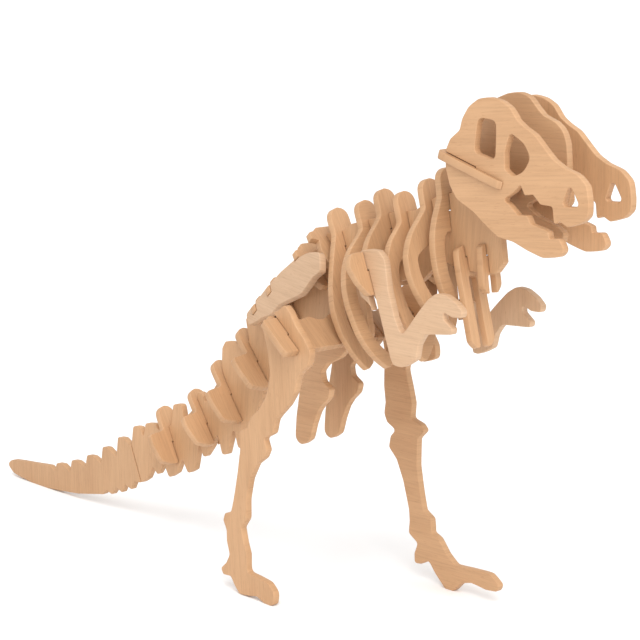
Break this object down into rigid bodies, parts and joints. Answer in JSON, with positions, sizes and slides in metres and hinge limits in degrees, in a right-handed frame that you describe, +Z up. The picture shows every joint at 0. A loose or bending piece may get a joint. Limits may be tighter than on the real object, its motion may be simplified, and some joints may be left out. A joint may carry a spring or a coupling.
{
  "type": "wooden 3d jigsaw model",
  "caption": "Standing two-legged dinosaur skeleton slotted together from flat plywood pieces, with an upright body, long tail, rib cage and open-jawed head.",
  "frame": {"origin": "centre of the bounding box in X and Y, on the plane that the feet and the tail rest on", "axes": "+X is where the head points, +Y is the animal's left side, +Z is up"},
  "size_m": [0.3854, 0.085, 0.2088],
  "materials": {
    "birch_ply": "bare plywood, satin",
    "pale_birch_ply": "bare plywood, satin"
  },
  "bodies": {
    "root": {"backbone": "birch_ply", "tail_end": "birch_ply", "tail_vertebra_1": "birch_ply", "tail_vertebra_2": "birch_ply", "tail_vertebra_3": "birch_ply", "tail_vertebra_4": "birch_ply", "hip_vertebra_1": "birch_ply", "hip_vertebra_2": "birch_ply", "hip_vertebra_3": "birch_ply", "hip_vertebra_4": "birch_ply", "rib_a": "birch_ply", "rib_b": "birch_ply", "rib_c": "birch_ply", "rib_d": "birch_ply", "rib_e": "birch_ply", "rib_f": "birch_ply", "rib_g": "birch_ply", "rib_h": "birch_ply", "ilium_right": "pale_birch_ply", "ilium_left": "pale_birch_ply", "pelvis_right": "birch_ply", "pelvis_left": "birch_ply", "hip_bar": "birch_ply", "leg_right": "birch_ply", "leg_left": "birch_ply", "arm_right": "pale_birch_ply", "arm_left": "pale_birch_ply", "shoulder_bar": "birch_ply", "skull_side_right": "birch_ply", "skull_side_left": "birch_ply", "skull_centre": "birch_ply", "skull_base_plate": "birch_ply"}
  },
  "joints": []
}
